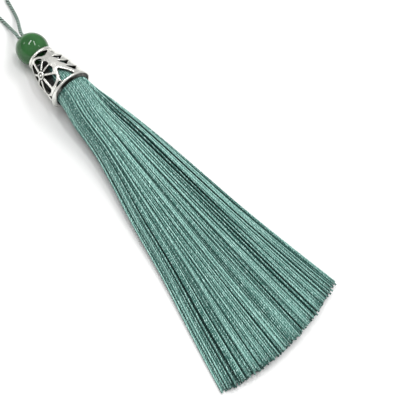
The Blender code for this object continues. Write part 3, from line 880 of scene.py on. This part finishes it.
def buildSkirt():
    across, upward = threadSeeds(skirtMake["threads"])
    paths, along, radius = threadPaths(across, upward)
    tone = 0.05 + 0.95 * rng.beta(0.6, 0.8, len(across))
    # inside the cap the threads are lost in the dark, but for those under the triangle near its top
    outward = outwardOf(paths, along)
    edge = -1.6 - 4.8 * smoothStep(0.66, 0.84, upward * 0.97 - across * 0.22)[:, None]
    covered = coverOf(paths, outward) * (1 - 0.5 * smoothStep(0.8, 1.0, np.abs(across)))[:, None]
    covered *= 1 - 0.7 * (1 - smoothStep(-1.4, -0.4, along))
    # the spread end is a little darker, most of all on its right
    dim = smoothStep(8.0, 55.0, along) * (0.12 + 0.10 * smoothStep(0.1, 0.8, across)[:, None])
    buried = np.maximum(covered + (1 - covered) * dim, 2 - 2 * smoothStep(edge, edge + 0.9, along))
    material = threadMaterial()
    pieces = []
    for name, chosen in (("skirtThreadsUpper", upward >= 0.0), ("skirtThreadsLower", upward < 0.0)):
        pieces.append(buildThreads(
            name, *(values[chosen] for values in (paths, along, radius, outward, tone, buried)), material,
        ))
    for piece in pieces:
        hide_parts("tassel")
    print("skirt built:", sum(len(piece.data.polygons) for piece in pieces), "faces")


buildSkirt()

# Binding: thread wound round the neck of the bundle, closed over its top

bindingMake = {
    "from": 6.9, "to": 10.3, "halfLength": 1.75, "radius": 2.15, "wrap": 0.36, "columns": 48, "rows": 76,
}


def buildBinding():
    # Turned outline of round wraps, radius + wrap / 3 * |sin(pi height / wrap)|, drawn in toward both
    # ends, where flat faces close it
    height = np.linspace(bindingMake["from"], bindingMake["to"], bindingMake["rows"])
    swell = np.abs(np.sin(math.pi * (height - height[0]) / bindingMake["wrap"]))
    radius = bindingMake["radius"] + bindingMake["wrap"] / 3 * swell
    fromMiddle = (height - height.mean()) / bindingMake["halfLength"]
    radius *= np.sqrt(np.clip(1 - fromMiddle ** 4, 0.05, 1.0))
    around = np.arange(bindingMake["columns"]) / bindingMake["columns"] * math.tau
    points = np.stack([
        radius[:, None] * np.cos(around), radius[:, None] * np.sin(around),
        np.repeat(height[:, None], len(around), axis=1),
    ], -1).reshape(-1, 3)
    quads = gridFaces(len(height), len(around), False, True)
    ends = np.array([np.arange(len(around)), len(points) - len(around) + np.arange(len(around))])
    turn = np.arctan2(points[quads, 1], points[quads, 0])
    uv = np.stack([points[quads, 2] * 2.0, turn], -1).reshape(-1, 2)
    uv = np.concatenate([uv, np.zeros((ends.size, 2))])
    # painted shade: the binding sits deep inside the cap and is darkened through buried
    plain = {"threadTone": 0.4, "buried": 0.8, "crest": 1.0}
    values = {key: np.full(len(points), value) for key, value in plain.items()}
    material = bpy.data.materials["tealSilkThread"]
    binding = addMesh("neckBinding", headToFrame(points), [quads, ends], material, uv, values)
    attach(binding, "root")
    print("binding built")


buildBinding()

# Table, light and surroundings

stageMake = {
    "floorHalf": 3.0,
    "floorColours": ((0.80, 0.80, 0.795), (0.81, 0.81, 0.81)),
    # world strength at each height of the sky, from the horizon (0) to straight up (1)
    "sky": ((0.0, 0.45), (0.25, 0.55), (0.6, 0.74), (1.0, 0.76)),
    # name, the lamp's two ends in metres, width in metres, watts
    "lamps": (
        ("tubeLeft", (-0.40, 0.28, 0.66), (0.03, 0.43, 0.71), 0.06, 1.7),
        ("tubeRight", (0.13, 0.25, 0.77), (0.00, -0.11, 0.79), 0.06, 1.2),
        ("tubeFarLeft", (-0.47, 0.63, 0.28), (-0.33, 0.65, 0.41), 0.04, 0.2),
        ("tubeFarRight", (0.29, -0.23, 0.70), (0.29, -0.40, 0.61), 0.04, 0.2),
        ("keyLamp", (0.70, 0.00, 0.85), (0.70, 0.50, 0.85), 0.50, 5.2),
    ),
}


def buildStage():
    half = stageMake["floorHalf"]
    mesh = bpy.data.meshes.new("tableTop")
    corners = [(-half, -half, 0.0), (half, -half, 0.0), (half, half, 0.0), (-half, half, 0.0)]
    mesh.from_pydata(corners, [], [(0, 1, 2, 3)])
    material, nodes, links, shader = newMaterial("paleTable")
    grain = placeGrain(nodes, 4.0, 500.0)
    colour = mixColour(material.node_tree, grain.outputs["Mottle"], *stageMake["floorColours"])
    links.new(colour, shader.inputs["Base Color"])
    shader.inputs["Roughness"].default_value = 0.75
    shader.inputs["Specular IOR Level"].default_value = 0.2
    mesh.materials.append(material)
    table = bpy.data.objects.new("tableTop", mesh)
    bpy.context.scene.collection.objects.link(table)
    world = bpy.data.worlds.new("paleRoom")
    world.use_nodes = True
    tree = world.node_tree
    apart = addNode(tree.nodes, "ShaderNodeSeparateXYZ")
    tree.links.new(addNode(tree.nodes, "ShaderNodeTexCoord").outputs["Generated"], apart.inputs[0])
    ramp = addNode(tree.nodes, "ShaderNodeValToRGB")
    stops = ramp.color_ramp.elements
    for index, (height, value) in enumerate(stageMake["sky"]):
        stop = stops[index] if index < 2 else stops.new(height)
        stop.position, stop.color = height, (value, value, value, 1.0)
    tree.links.new(apart.outputs[2], ramp.inputs["Fac"])
    tree.links.new(ramp.outputs["Color"], tree.nodes["Background"].inputs["Color"])
    bpy.context.scene.world = world
    for name, start, end, width, watts in stageMake["lamps"]:
        middle, along = (Vector(start) + Vector(end)) / 2, Vector(end) - Vector(start)
        light = bpy.data.lights.new(name, "AREA")
        light.shape, light.size, light.size_y, light.energy = "RECTANGLE", width, along.length, watts
        lamp = bpy.data.objects.new(name, light)
        outward = (middle - middle.dot(along) / along.dot(along) * along).normalized()
        lengthwise = along.normalized()
        axes = Matrix((lengthwise.cross(outward), lengthwise, outward)).transposed()
        lamp.matrix_world = Matrix.Translation(middle) @ axes.to_4x4()
        lamp.visible_glossy = name != "keyLamp"  # the soft key leaves no spot on the bead
        bpy.context.scene.collection.objects.link(lamp)
    bpy.context.scene.view_settings.view_transform = "Standard"
    print("stage built")


buildStage()
